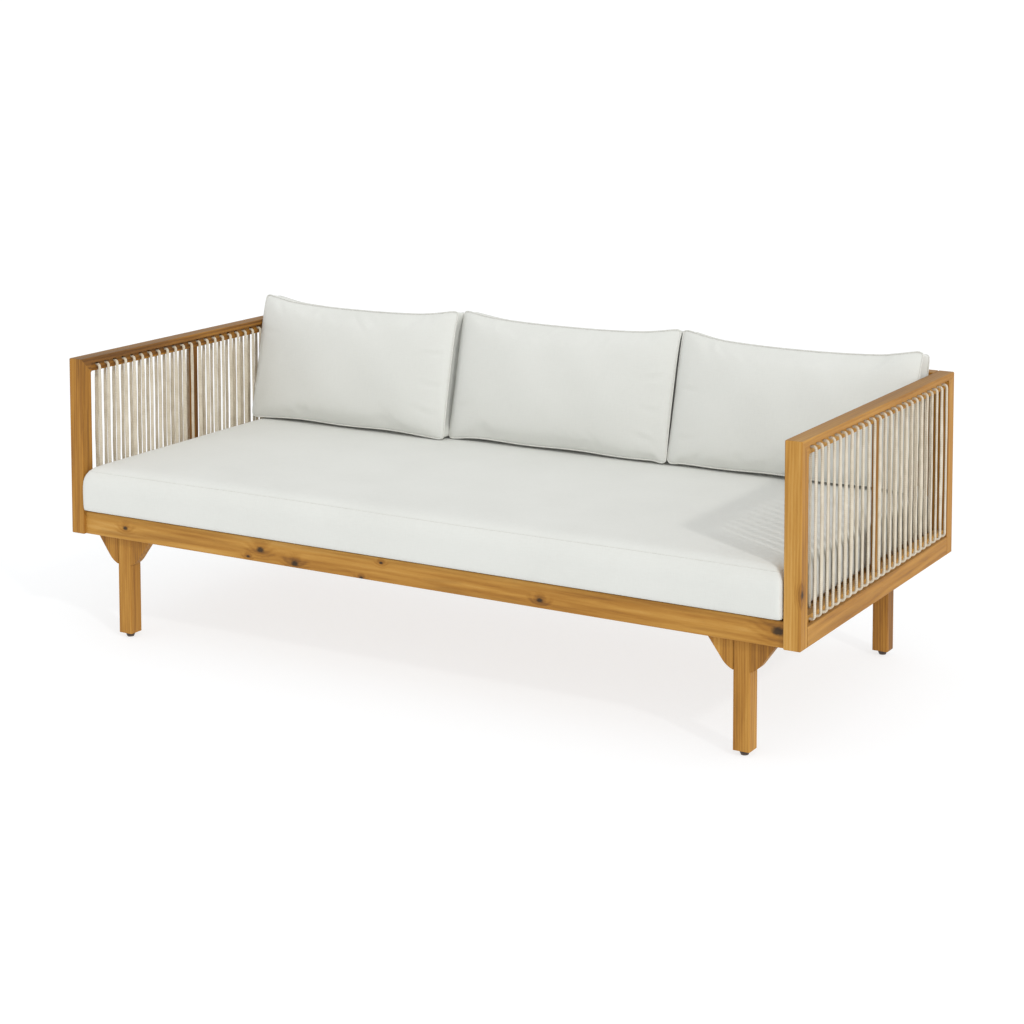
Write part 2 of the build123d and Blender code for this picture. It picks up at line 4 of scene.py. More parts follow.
import bpy
import numpy as np
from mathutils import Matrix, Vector


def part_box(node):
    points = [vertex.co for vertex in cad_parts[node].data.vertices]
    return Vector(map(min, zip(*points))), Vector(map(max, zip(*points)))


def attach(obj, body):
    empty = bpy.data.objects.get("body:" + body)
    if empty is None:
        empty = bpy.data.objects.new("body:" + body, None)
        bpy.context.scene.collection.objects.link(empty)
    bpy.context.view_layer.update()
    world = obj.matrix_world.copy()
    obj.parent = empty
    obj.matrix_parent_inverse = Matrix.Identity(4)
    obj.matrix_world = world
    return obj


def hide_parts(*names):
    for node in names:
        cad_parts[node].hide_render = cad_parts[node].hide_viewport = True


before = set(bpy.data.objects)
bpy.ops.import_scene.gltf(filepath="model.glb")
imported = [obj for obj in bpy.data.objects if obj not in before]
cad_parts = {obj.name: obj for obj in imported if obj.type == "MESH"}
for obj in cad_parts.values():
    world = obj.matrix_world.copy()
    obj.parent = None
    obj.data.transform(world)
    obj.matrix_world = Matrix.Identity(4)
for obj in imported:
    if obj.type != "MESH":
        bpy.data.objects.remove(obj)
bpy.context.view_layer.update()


# ---- Rope panel frames -------------------------------------------------------------------
# Two arms and a back, each a pair of posts with a mitred top rail, a lower rail and thin
# stiles. Planed acacia, its edges eased, rubbed with a golden oil; no two boards alike.

def add_node(tree, kind, feeds=None, **settings):
    """A shader node. Feeds are values or other nodes' outputs for its sockets."""
    made = tree.nodes.new(kind)
    for key, value in settings.items():
        setattr(made, key, value)
    for key, value in (feeds or {}).items():
        if isinstance(value, bpy.types.NodeSocket):
            tree.links.new(value, made.inputs[key])
        else:
            made.inputs[key].default_value = value
    return made


def new_finish(name):
    """An empty material with its shader; gives the material, its tree and the shader."""
    finish = bpy.data.materials.new(name)
    finish.use_nodes = True
    tree = finish.node_tree
    return finish, tree, tree.nodes["Principled BSDF"]


def calc(tree, operation, a, b=0.0, c=0.0):
    """One step of arithmetic on two or three numbers."""
    return add_node(tree, "ShaderNodeMath", {0: a, 1: b, 2: c}, operation=operation).outputs[0]


def linear(red, green, blue):
    """A colour given as on a paint card, 0 to 255, turned to light values."""
    def one(value):
        share = value / 255
        return share / 12.92 if share <= 0.04045 else ((share + 0.055) / 1.055) ** 2.4
    return (one(red), one(green), one(blue), 1.0)


def shade_card(tree, amount, stops, smooth="LINEAR"):
    """Turns a number into a colour along a row of (place, colour) stops."""
    ramp = add_node(tree, "ShaderNodeValToRGB", {"Fac": amount})
    ramp.color_ramp.interpolation = smooth
    while len(ramp.color_ramp.elements) < len(stops):
        ramp.color_ramp.elements.new(0.5)
    for element, (place, colour) in zip(ramp.color_ramp.elements, stops):
        element.position = place
        element.color = colour
    return ramp.outputs["Color"]


def blend_colours(tree, amount, first, second, how="MIX"):
    """One colour laid over another."""
    mix = add_node(tree, "ShaderNodeMix", data_type="RGBA", blend_type=how)
    for key, value in ((0, amount), (6, first), (7, second)):
        if isinstance(value, bpy.types.NodeSocket):
            tree.links.new(value, mix.inputs[key])
        else:
            mix.inputs[key].default_value = value
    return mix.outputs[2]


ACACIA = {
    "vein": linear(84, 54, 26),
    "dark": linear(124, 82, 34),
    "body": linear(162, 112, 44),
    "gold": linear(182, 133, 60),
    "pale": linear(201, 156, 86),
    "knot": linear(48, 38, 28),
    # reflection_grey: a dull grey-brown laid on upward faces as a painted reflection of the bright surround
    "reflection_grey": linear(138, 116, 88),
}
RING_WIDTH = 0.0062
GRAIN_TURN = {"X": (0, -math.pi / 2, 0), "Y": (math.pi / 2, 0, 0), "Z": (0, 0, 0)}
GRAIN_STRETCH = 0.055


def oiled_acacia(name, grain, seed, knots=(), tone=0.0):
    """The face of one board: rings cut along the grain, streaks, pores and knots.
    Grain is the axis it runs along; knots are (place, radius); tone lightens or darkens."""
    draw = random.Random(seed)
    finish, tree, shader = new_finish(name)
    place = add_node(tree, "ShaderNodeTexCoord").outputs["Object"]
    turned = add_node(
        tree, "ShaderNodeMapping", {"Vector": place, "Rotation": GRAIN_TURN[grain]}
    ).outputs[0]
    heart = (draw.uniform(-0.09, 0.09), draw.choice((-1, 1)) * draw.uniform(0.05, 0.12), seed * 0.37)
    lean = (draw.uniform(-0.012, 0.012), draw.uniform(-0.012, 0.012), draw.uniform(0, math.tau))
    board = add_node(
        tree, "ShaderNodeMapping", {"Vector": turned, "Location": heart, "Rotation": lean}
    ).outputs[0]
    drawn = add_node(
        tree, "ShaderNodeMapping", {"Vector": board, "Scale": (1, 1, GRAIN_STRETCH)}
    ).outputs[0]

    knot_pull = 0.0
    knot_core = 0.0
    for spot, radius in knots:
        offset = add_node(
            tree, "ShaderNodeVectorMath", {0: place, 1: spot}, operation="SUBTRACT"
        ).outputs[0]
        along = [1.0 / radius] * 3
        along["XYZ".index(grain)] = 0.6 / radius
        scaled = add_node(
            tree, "ShaderNodeVectorMath", {0: offset, 1: along}, operation="MULTIPLY"
        ).outputs[0]
        ragged = add_node(
            tree, "ShaderNodeTexNoise", {"Vector": scaled, "Scale": 1.6, "Detail": 3.0}
        ).outputs["Color"]
        shaken = add_node(
            tree, "ShaderNodeVectorMath", {0: ragged, 1: (0.9, 0.9, 0.9), 2: scaled},
            operation="MULTIPLY_ADD",
        ).outputs[0]
        centred = add_node(
            tree, "ShaderNodeVectorMath", {0: shaken, 1: (0.45, 0.45, 0.45)}, operation="SUBTRACT"
        ).outputs[0]
        away = add_node(
            tree, "ShaderNodeVectorMath", {0: centred}, operation="LENGTH"
        ).outputs["Value"]
        near = add_node(
            tree, "ShaderNodeMapRange",
            {"Value": away, "From Min": 4.0, "From Max": 0.4}, interpolation_type="SMOOTHSTEP",
        ).outputs[0]
        core = add_node(
            tree, "ShaderNodeMapRange",
            {"Value": away, "From Min": 1.15, "From Max": 0.35}, interpolation_type="SMOOTHSTEP",
        ).outputs[0]
        knot_pull = calc(tree, "MAXIMUM", near, knot_pull)
        knot_core = calc(tree, "MAXIMUM", core, knot_core)

    pull = calc(tree, "MULTIPLY", knot_pull, 9.0)
    rings = add_node(
        tree, "ShaderNodeTexWave",
        {"Vector": drawn, "Scale": math.tau / 20 / RING_WIDTH, "Distortion": 9.0,
         "Detail": 2.0, "Detail Scale": 16.0 / (math.tau / 20 / RING_WIDTH),
         "Phase Offset": pull},
        wave_type="RINGS", rings_direction="Z", wave_profile="SIN",
    ).outputs["Fac"]
    clouds = add_node(
        tree, "ShaderNodeTexNoise",
        {"Vector": drawn, "Scale": 26.0, "Detail": 3.0, "Roughness": 0.55},
    ).outputs["Fac"]
    streaks = add_node(
        tree, "ShaderNodeTexNoise",
        {"Vector": drawn, "Scale": 150.0, "Detail": 4.0, "Roughness": 0.62, "Distortion": 0.3},
    ).outputs["Fac"]
    fibres = add_node(
        tree, "ShaderNodeTexNoise", {"Vector": drawn, "Scale": 900.0, "Detail": 2.0}
    ).outputs["Fac"]
    pores = add_node(
        tree, "ShaderNodeMapRange", {"Value": fibres, "From Min": 0.64, "From Max": 0.74}
    ).outputs[0]
    veins = add_node(
        tree, "ShaderNodeTexNoise",
        {"Vector": drawn, "Scale": 48.0, "Detail": 2.0, "Roughness": 0.4, "Distortion": 0.6},
    ).outputs["Fac"]
    vein = add_node(
        tree, "ShaderNodeMapRange", {"Value": veins, "From Min": 0.60, "From Max": 0.76}
    ).outputs[0]

    depth = calc(tree, "MULTIPLY_ADD", calc(tree, "SUBTRACT", clouds, 0.5), 1.1, 0.54 + tone)
    depth = calc(tree, "MULTIPLY_ADD", calc(tree, "SUBTRACT", rings, 0.5), 0.11, depth)
    depth = calc(tree, "MULTIPLY_ADD", calc(tree, "SUBTRACT", streaks, 0.5), 0.50, depth)
    depth = calc(tree, "MULTIPLY_ADD", calc(tree, "SUBTRACT", fibres, 0.5), 0.14, depth)
    depth = calc(tree, "MULTIPLY_ADD", knot_pull, -0.22, depth)
    colour = shade_card(
        tree, depth,
        [(0.02, ACACIA["vein"]), (0.26, ACACIA["dark"]), (0.48, ACACIA["body"]),
         (0.70, ACACIA["gold"]), (0.95, ACACIA["pale"])],
    )
    colour = blend_colours(
        tree, calc(tree, "MULTIPLY", vein, 0.35), colour, ACACIA["dark"], "MIX"
    )
    colour = blend_colours(tree, calc(tree, "MULTIPLY", pores, 0.25), colour, ACACIA["vein"])
    colour = blend_colours(tree, calc(tree, "MULTIPLY", knot_core, 0.92), colour, ACACIA["knot"])
    # Upward faces are blended towards a dull grey-brown: a painted reflection of the bright surround on the
    # oiled tops.
    facing = add_node(tree, "ShaderNodeNewGeometry").outputs["Normal"]
    upward = add_node(tree, "ShaderNodeSeparateXYZ", {0: facing}).outputs["Z"]
    top_reflection = add_node(
        tree, "ShaderNodeMapRange",
        {"Value": upward, "From Min": 0.5, "From Max": 0.95, "To Max": 0.36},
    ).outputs[0]
    colour = blend_colours(tree, top_reflection, colour, ACACIA["reflection_grey"])
    tree.links.new(colour, shader.inputs["Base Color"])

    gloss = calc(tree, "MULTIPLY_ADD", streaks, 0.22, 0.46)
    gloss = calc(tree, "MULTIPLY_ADD", pores, 0.15, gloss)
    tree.links.new(gloss, shader.inputs["Roughness"])
    height = calc(tree, "MULTIPLY_ADD", rings, 0.35, calc(tree, "MULTIPLY", streaks, 0.5))
    height = calc(tree, "MULTIPLY_ADD", pores, -0.6, height)
    height = calc(tree, "MULTIPLY_ADD", knot_core, -0.4, height)
    relief = add_node(
        tree, "ShaderNodeBump", {"Height": height, "Strength": 0.35, "Distance": 0.0006}
    ).outputs[0]
    tree.links.new(relief, shader.inputs["Normal"])
    shader.inputs["Specular IOR Level"].default_value = 0.22
    return finish


def finish_node(name, finish):
    """Gives a sawn or turned piece its finish, in place of every one it came with."""
    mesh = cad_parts[name].data
    mesh.materials.clear()
    mesh.materials.append(finish)


POST_KNOT = ((1.0, -0.457, 0.379), 0.006)
PANEL_BOARDS = {
    # The left arm's boards are set darker than the right arm's: painted shade on the side turned away from the
    # lamp.
    "left_front_post": ("Z", 11, (), -0.10),
    "left_rear_post": ("Z", 12, (), -0.04),
    "left_top_rail": ("Y", 13, (), -0.20),
    "left_bottom_rail": ("Y", 14, (), -0.16),
    "left_centre_stile": ("Z", 15, (), -0.12),
    "right_front_post": ("Z", 21, (POST_KNOT,), 0.06),
    "right_rear_post": ("Z", 22, (), 0.0),
    "right_top_rail": ("Y", 23, (), 0.02),
    "right_bottom_rail": ("Y", 24, (), 0.02),
    "right_centre_stile": ("Z", 25, (), 0.0),
    "back_left_post": ("Z", 31, (), 0.0),
    "back_right_post": ("Z", 32, (), 0.0),
    "back_top_rail": ("X", 33, (), 0.0),
    "back_bottom_rail": ("X", 34, (), 0.0),
    "back_stile_1": ("Z", 35, (), 0.0),
    "back_stile_2": ("Z", 36, (), 0.0),
}
for board, (grain, seed, knots, tone) in PANEL_BOARDS.items():
    finish_node(board, oiled_acacia(board + "_oiled", grain, seed, knots, tone))


# ---- Seat frame --------------------------------------------------------------------------
# Long front and rear rails, side rails, a centre rail, ledgers and a set of cross slats,
# screwed down. The front rail is a show face with several knots; the inner wood is plainer.

FRONT_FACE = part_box("front_rail")[0].y
FRONT_RAIL_KNOTS = [
    ((-0.832, FRONT_FACE, 0.288), 0.006),
    ((-0.448, FRONT_FACE, 0.268), 0.004),
    ((-0.411, FRONT_FACE, 0.289), 0.0085),
    ((-0.309, FRONT_FACE, 0.269), 0.008),
    ((-0.117, FRONT_FACE, 0.261), 0.004),
    ((-0.061, FRONT_FACE, 0.304), 0.004),
    ((0.366, FRONT_FACE, 0.277), 0.006),
    ((0.946, FRONT_FACE, 0.294), 0.012),
]
SEAT_BOARDS = {
    "front_rail": ("X", 41, FRONT_RAIL_KNOTS, 0.10),
    "rear_rail": ("X", 42, (), -0.06),
    "left_side_rail": ("Y", 43, (), -0.08),
    "right_side_rail": ("Y", 44, (), -0.08),
    "centre_rail": ("X", 45, (), -0.08),
    "front_ledger": ("X", 46, (), -0.05),
    "rear_ledger": ("X", 47, (), -0.05),
    "seat_slats": ("Y", 48, (), -0.03),
}
for board, (grain, seed, knots, tone) in SEAT_BOARDS.items():
    finish_node(board, oiled_acacia(board + "_oiled", grain, seed, knots, tone))


# ---- Legs, brackets and glides -----------------------------------------------------------
# Four square legs bolted behind the long rails, each with two shaped knee brackets, and
# a moulded plastic glide under each foot.

def glide_plastic():
    """Dark brown moulded plastic, faintly pebbled, scuffed where it meets the floor."""
    finish, tree, shader = new_finish("glide_plastic")
    place = add_node(tree, "ShaderNodeTexCoord").outputs["Object"]
    pebble = add_node(
        tree, "ShaderNodeTexNoise", {"Vector": place, "Scale": 900.0, "Detail": 2.0}
    ).outputs["Fac"]
    level = add_node(tree, "ShaderNodeSeparateXYZ", {0: place}).outputs["Z"]
    scuff = add_node(
        tree, "ShaderNodeMapRange", {"Value": level, "From Min": 0.004, "From Max": 0.0}
    ).outputs[0]
    scuff = calc(tree, "MULTIPLY", scuff, pebble)
    colour = blend_colours(tree, scuff, linear(58, 44, 34), linear(120, 108, 96))
    tree.links.new(colour, shader.inputs["Base Color"])
    tree.links.new(calc(tree, "MULTIPLY_ADD", pebble, 0.25, 0.35), shader.inputs["Roughness"])
    relief = add_node(
        tree, "ShaderNodeBump", {"Height": pebble, "Strength": 0.3, "Distance": 0.0002}
    ).outputs[0]
    tree.links.new(relief, shader.inputs["Normal"])
    return finish


GLIDE_FINISH = glide_plastic()
# The rear legs are set much darker than the front ones: painted shade under the seat, away from the lamp.
LEG_TONES = {"front": 0.06, "rear": -0.24}
leg_seed = 51
for side in ("left", "right"):
    for row in ("front", "rear"):
        corner = f"{side}_{row}"
        leg = oiled_acacia(corner + "_leg_oiled", "Z", leg_seed, (), LEG_TONES[row])
        finish_node(corner + "_leg", leg)
        # The brackets are set a little darker: painted shade under the rails.
        bracket = oiled_acacia(corner + "_bracket_oiled", "Z", leg_seed + 20, (), -0.03)
        finish_node(corner + "_outer_bracket", bracket)
        finish_node(corner + "_inner_bracket", bracket)
        finish_node(corner + "_glide", GLIDE_FINISH)
        leg_seed += 1


# ---- Fasteners ---------------------------------------------------------------------------
# Stainless bolts and screws, turned brass inserts and beech dowels that hold the frame.

def turned_metal(name, colour, rough):
    """Machined metal with fine turning lines and a little dulling."""
    finish, tree, shader = new_finish(name)
    place = add_node(tree, "ShaderNodeTexCoord").outputs["Object"]
    lines = add_node(
        tree, "ShaderNodeTexNoise", {"Vector": place, "Scale": 2400.0, "Detail": 2.0}
    ).outputs["Fac"]
    dull = add_node(
        tree, "ShaderNodeTexNoise", {"Vector": place, "Scale": 180.0, "Detail": 3.0}
    ).outputs["Fac"]
    worn = tuple(0.72 * c for c in colour[:3]) + (1.0,)
    tree.links.new(blend_colours(tree, dull, worn, colour), shader.inputs["Base Color"])
    tree.links.new(calc(tree, "MULTIPLY_ADD", dull, 0.25, rough), shader.inputs["Roughness"])
    relief = add_node(
        tree, "ShaderNodeBump", {"Height": lines, "Strength": 0.25, "Distance": 0.0001}
    ).outputs[0]
    tree.links.new(relief, shader.inputs["Normal"])
    shader.inputs["Metallic"].default_value = 1.0
    return finish


STAINLESS = turned_metal("stainless_fastener", linear(196, 196, 192), 0.24)
BRASS = turned_metal("insert_brass", linear(204, 168, 92), 0.30)
for kind in ("leg", "arm", "back"):
    finish_node(kind + "_bolts", STAINLESS)
    finish_node(kind + "_bolt_inserts", BRASS)
finish_node("slat_screws", STAINLESS)
finish_node("bracket_screws", STAINLESS)
finish_node("corner_dowels", oiled_acacia("dowel_beech", "Y", 61, (), 0.12))


# ---- Rope panels -------------------------------------------------------------------------
# One hollow braided polyester rope per panel, wound through the holes of both rails: up one
# face, down the other, then slantwise inside the lower rail to the next hole. Pulled tight by
# hand, it lies flat as a tape on the faces and gathers round where it turns into a hole.

ROPE_BEND = 0.0065
ROPE_STEP = 0.008
ROPE_SIDES = 12
FLAT_WIDTH = 0.0062
FLAT_DEPTH = 0.0025
GATHERED_WIDTH = 0.0042
GATHERED_DEPTH = 0.0031
CREASE_DEPTH = 0.22
BRAID_PITCH = 0.0085
UPPER_TURN = 0.6817
LOWER_TURN = 0.3114
STRAND_PITCH = 0.0334
ARM_STRAND_SHIFT = 0.0055
STRAND_SWAY = 0.0009
STRAND_WAVE = 0.0005
STRAND_BELLY = 0.0006
STRAND_TURN = 0.24


def braided_rope():
    """Cream polyester braid: two sets of bundles crossing round the cord, with fine fibres."""
    finish, tree, shader = new_finish("cream_braid")
    run = add_node(tree, "ShaderNodeAttribute", attribute_name="braid").outputs["Vector"]
    parts = add_node(tree, "ShaderNodeSeparateXYZ", {0: run})
    along, round_it = parts.outputs["X"], parts.outputs["Y"]
    turns = calc(tree, "MULTIPLY", along, 1.0 / BRAID_PITCH)
    waves = []
    for hand in (-1, 1):
        lay = calc(tree, "MULTIPLY_ADD", round_it, 4.0 * hand, calc(tree, "MULTIPLY", turns, 1.0))
        waves.append(calc(tree, "SINE", calc(tree, "MULTIPLY", lay, math.tau)))
    bundles = calc(tree, "MULTIPLY", waves[0], waves[1])
    place = add_node(tree, "ShaderNodeTexCoord").outputs["Object"]
    mottle = add_node(
        tree, "ShaderNodeTexNoise", {"Vector": place, "Scale": 34.0, "Detail": 4.0}
    ).outputs["Fac"]
    fuzz = add_node(
        tree, "ShaderNodeTexNoise", {"Vector": place, "Scale": 1500.0, "Detail": 2.0}
    ).outputs["Fac"]
    tint = calc(tree, "MULTIPLY_ADD", calc(tree, "SUBTRACT", mottle, 0.5), 0.7, 0.50)
    tint = calc(tree, "MULTIPLY_ADD", bundles, 0.16, tint)
    tint = calc(tree, "MULTIPLY_ADD", calc(tree, "SUBTRACT", fuzz, 0.5), 0.25, tint)
    colour = shade_card(
        tree, tint,
        [(0.05, linear(160, 146, 120)), (0.5, linear(205, 194, 173)), (0.95, linear(226, 218, 201))],
    )
    tree.links.new(colour, shader.inputs["Base Color"])
    tree.links.new(calc(tree, "MULTIPLY_ADD", fuzz, 0.2, 0.62), shader.inputs["Roughness"])
    height = calc(tree, "MULTIPLY_ADD", fuzz, 0.25, bundles)
    relief = add_node(
        tree, "ShaderNodeBump", {"Height": height, "Strength": 0.5, "Distance": 0.0007}
    ).outputs[0]
    tree.links.new(relief, shader.inputs["Normal"])
    shader.inputs["Sheen Weight"].default_value = 0.15
    shader.inputs["Sheen Roughness"].default_value = 0.5
    return finish


BRAID = braided_rope()


def strand_run(place, start, end, out, draw):
    """Rings of one strand from hole to hole, with the small wander of a hand-pulled rope.
    Each ring is (along the panel, out of the panel, height, flatness, turn)."""
    count = round(abs(end - start) / ROPE_STEP)
    sway = draw.uniform(-STRAND_SWAY, STRAND_SWAY)
    ripple = draw.uniform(0, math.tau)
    turn = draw.uniform(-STRAND_TURN, STRAND_TURN)
    rings = []
    for k in range(1, count):
        share = k / count
        belly = math.sin(math.pi * share)
        wave = STRAND_WAVE * math.sin(math.tau * 1.5 * share + ripple) * belly
        flat = min(1.0, min(share, 1 - share) * 7.0)
        rings.append((
            place + sway * belly + wave, out + math.copysign(STRAND_BELLY * belly, out),
            start + (end - start) * share, flat * flat * (3 - 2 * flat), turn * belly,
        ))
    return rings


def hole_turn(here, beyond, first, second, level, rise):
    """Rings of the rope as it turns into a hole, crosses the rail and turns out again."""
    across = Vector((beyond - here, second - first)).normalized()
    rings = []
    for k in range(0, 5):
        angle = k / 4 * math.pi / 2
        into = ROPE_BEND * (1 - math.cos(angle))
        drop = level - rise * ROPE_BEND * (1 - math.sin(angle))
        rings.append((here + across.x * into, first + across.y * into, drop, 0.0, 0.0))
    rings.append(((here + beyond) / 2, (first + second) / 2, level, 0.0, 0.0))
    for k in range(4, -1, -1):
        angle = k / 4 * math.pi / 2
        into = ROPE_BEND * (1 - math.cos(angle))
        drop = level - rise * ROPE_BEND * (1 - math.sin(angle))
        rings.append((beyond - across.x * into, second - across.y * into, drop, 0.0, 0.0))
    return rings


def rope_route(strands, reach, shift, seed):
    """The whole route of one panel's rope: up one face, down the other, a hole further on."""
    draw = random.Random(seed)
    places = [(k - (strands - 1) / 2) * STRAND_PITCH + shift for k in range(strands)]
    low, high = LOWER_TURN + ROPE_BEND, UPPER_TURN - ROPE_BEND
    route = hole_turn(places[0], places[0], -reach, reach, LOWER_TURN, -1)[5:]
    for k, place in enumerate(places):
        route += strand_run(place, low, high, reach, draw)
        route += hole_turn(place, place, reach, -reach, UPPER_TURN, 1)
        route += strand_run(place, high, low, -reach, draw)
        if k < strands - 1:
            route += hole_turn(place, places[k + 1], -reach, reach, LOWER_TURN, -1)
    return route + hole_turn(places[-1], places[-1], -reach, reach, LOWER_TURN, -1)[:6]


def wind_rope(name, node, strands, reach, shift, seed, to_row):
    """Makes the rope of one panel: an oval ring at each point of its route, joined up."""
    route = rope_route(strands, reach, shift, seed)
    points = [Vector(ring[:3]) for ring in route]
    run = [0.0]
    for before, after in zip(points, points[1:]):
        run.append(run[-1] + (after - before).length)
    corners = []
    for k, (point, ring) in enumerate(zip(points, route)):
        ahead = points[min(k + 1, len(points) - 1)] - points[max(k - 1, 0)]
        ahead.normalize()
        wide = Vector((1, 0, 0)) - ahead * ahead.x
        wide.normalize()
        deep = ahead.cross(wide)
        flatness, turn = ring[3:]
        pinch = 1.0 + 0.05 * math.sin(run[k] * 41.0) + 0.04 * math.sin(run[k] * 97.0 + 1.0)
        half_wide = (GATHERED_WIDTH + (FLAT_WIDTH - GATHERED_WIDTH) * flatness) * pinch
        half_deep = (GATHERED_DEPTH + (FLAT_DEPTH - GATHERED_DEPTH) * flatness) / pinch
        for side in range(ROPE_SIDES):
            angle = math.tau * side / ROPE_SIDES
            dent = 1.0 - CREASE_DEPTH * flatness * math.exp(-(math.cos(angle) / 0.35) ** 2)
            x = half_wide * math.cos(angle)
            y = half_deep * math.sin(angle) * dent
            x, y = x * math.cos(turn) - y * math.sin(turn), x * math.sin(turn) + y * math.cos(turn)
            corners.append(to_row(point + wide * x + deep * y))
    faces = []
    for k in range(len(points) - 1):
        for side in range(ROPE_SIDES):
            beside = (side + 1) % ROPE_SIDES
            here, there = k * ROPE_SIDES, (k + 1) * ROPE_SIDES
            faces.append((here + side, here + beside, there + beside, there + side))
    last = (len(points) - 1) * ROPE_SIDES
    faces.append(tuple(range(ROPE_SIDES - 1, -1, -1)))
    faces.append(tuple(range(last, last + ROPE_SIDES)))
    mesh = bpy.data.meshes.new(name)
    mesh.from_pydata(corners, [], faces)
    mesh.update()
    rope = bpy.data.objects.new(name, mesh)
    bpy.context.scene.collection.objects.link(rope)
    bpy.ops.object.select_all(action="DESELECT")
    rope.select_set(True)
    bpy.context.view_layer.objects.active = rope
    bpy.ops.object.mode_set(mode="EDIT")
    bpy.ops.mesh.select_all(action="SELECT")
    bpy.ops.mesh.normals_make_consistent(inside=False)
    bpy.ops.object.mode_set(mode="OBJECT")
    bpy.ops.object.shade_smooth()
    lay = mesh.attributes.new("braid", "FLOAT_VECTOR", "CORNER")
    values = np.zeros((len(mesh.loops), 3), np.float32)
    corner_points = np.zeros(len(mesh.loops), np.int32)
    mesh.loops.foreach_get("vertex_index", corner_points)
    values[:, 0] = np.array(run)[corner_points // ROPE_SIDES]
    values[:, 1] = (corner_points % ROPE_SIDES) / ROPE_SIDES
    for face in mesh.polygons:
        ids = list(face.loop_indices)
        if len(ids) == 4 and max(values[ids, 1]) - min(values[ids, 1]) > 0.5:
            for i in ids:
                if values[i, 1] == 0.0:
                    values[i, 1] = 1.0
    lay.data.foreach_set("vector", values.ravel())
    mesh.materials.append(BRAID)
    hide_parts(node)
    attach(rope, "frame")


ARM_MIDDLE = {side: sum(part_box(f"{side}_rope")[k].x for k in (0, 1)) / 2 for side in ("left", "right")}
BACK_MIDDLE = sum(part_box("back_rope")[k].y for k in (0, 1)) / 2
ARM_REACH = 0.0202
BACK_REACH = 0.0190
OUTWARD = 0.0013
wind_rope(
    "left_arm_rope", "left_rope", 25, ARM_REACH, ARM_STRAND_SHIFT, 3,
    lambda p: (ARM_MIDDLE["left"] - OUTWARD + p[1], p[0], p[2]),
)
wind_rope(
    "right_arm_rope", "right_rope", 25, ARM_REACH, ARM_STRAND_SHIFT, 4,
    lambda p: (ARM_MIDDLE["right"] + OUTWARD + p[1], p[0], p[2]),
)
wind_rope(
    "back_panel_rope", "back_rope", 54, BACK_REACH, 0.0, 5,
    lambda p: (p[0], BACK_MIDDLE + OUTWARD - p[1], p[2]),
)


# ---- Seat cushion ------------------------------------------------------------------------
# One long foam box in a removable off-white woven cover: a top and a bottom panel joined by a
# band, sewn with a thin welt. The foam crowns it; the sewn edges stay lower and rounder.

def woven_cover(name):
    """Off-white outdoor fabric: a plain weave with thicker slubs, a soft matt face."""
    finish, tree, shader = new_finish(name)
    cloth = add_node(tree, "ShaderNodeUVMap", uv_map="cloth").outputs["UV"]
    parts = add_node(tree, "ShaderNodeSeparateXYZ", {0: cloth})
    uneven = add_node(
        tree, "ShaderNodeTexNoise", {"Vector": cloth, "Scale": 60.0, "Detail": 2.0}
    ).outputs["Fac"]
    threads = []
    for run in ("X", "Y"):
        place = calc(tree, "MULTIPLY_ADD", uneven, 0.0008, parts.outputs[run])
        threads.append(calc(tree, "SINE", calc(tree, "MULTIPLY", place, math.tau / THREAD_PITCH)))
    weave = calc(tree, "MULTIPLY", threads[0], threads[1])
    warp = add_node(tree, "ShaderNodeMapping", {"Vector": cloth, "Scale": (1, 14, 1)}).outputs[0]
    weft = add_node(tree, "ShaderNodeMapping", {"Vector": cloth, "Scale": (14, 1, 1)}).outputs[0]
    slubs = []
    for run in (warp, weft):
        slubs.append(add_node(
            tree, "ShaderNodeTexNoise", {"Vector": run, "Scale": 38.0, "Detail": 4.0, "Roughness": 0.6}
        ).outputs["Fac"])
    slub = calc(tree, "MULTIPLY", calc(tree, "ADD", slubs[0], slubs[1]), 0.5)
    place = add_node(tree, "ShaderNodeTexCoord").outputs["Object"]
    mottle = add_node(
        tree, "ShaderNodeTexNoise", {"Vector": place, "Scale": 5.0, "Detail": 3.0}
    ).outputs["Fac"]
    tint = calc(tree, "MULTIPLY_ADD", calc(tree, "SUBTRACT", slub, 0.5), 0.55, 0.5)
    tint = calc(tree, "MULTIPLY_ADD", calc(tree, "SUBTRACT", mottle, 0.5), 0.35, tint)
    tint = calc(tree, "MULTIPLY_ADD", weave, 0.05, tint)
    colour = shade_card(
        tree, tint,
        [(0.1, linear(202, 203, 198)), (0.5, linear(215, 216, 211)), (0.9, linear(223, 224, 220))],
    )
    tree.links.new(colour, shader.inputs["Base Color"])
    tree.links.new(calc(tree, "MULTIPLY_ADD", slub, 0.15, 0.80), shader.inputs["Roughness"])
    height = calc(tree, "MULTIPLY_ADD", slub, 1.6, calc(tree, "MULTIPLY", weave, 0.3))
    relief = add_node(
        tree, "ShaderNodeBump", {"Height": height, "Strength": 0.32, "Distance": 0.0006}
    ).outputs[0]
    tree.links.new(relief, shader.inputs["Normal"])
    shader.inputs["Sheen Weight"].default_value = 0.12
    shader.inputs["Sheen Roughness"].default_value = 0.6
    shader.inputs["Specular IOR Level"].default_value = 0.25
    return finish


THREAD_PITCH = 0.0022
COVER_FABRIC = woven_cover("cushion_fabric")


def points_of(mesh):
    """The places of a mesh's points, as rows of three."""
    rows = np.zeros(len(mesh.vertices) * 3, np.float32)
    mesh.vertices.foreach_get("co", rows)
    return rows.reshape(-1, 3).astype(float)


def set_points(mesh, rows):
    """Moves a mesh's points."""
    mesh.vertices.foreach_set("co", rows.astype(np.float32).ravel())
    mesh.update()


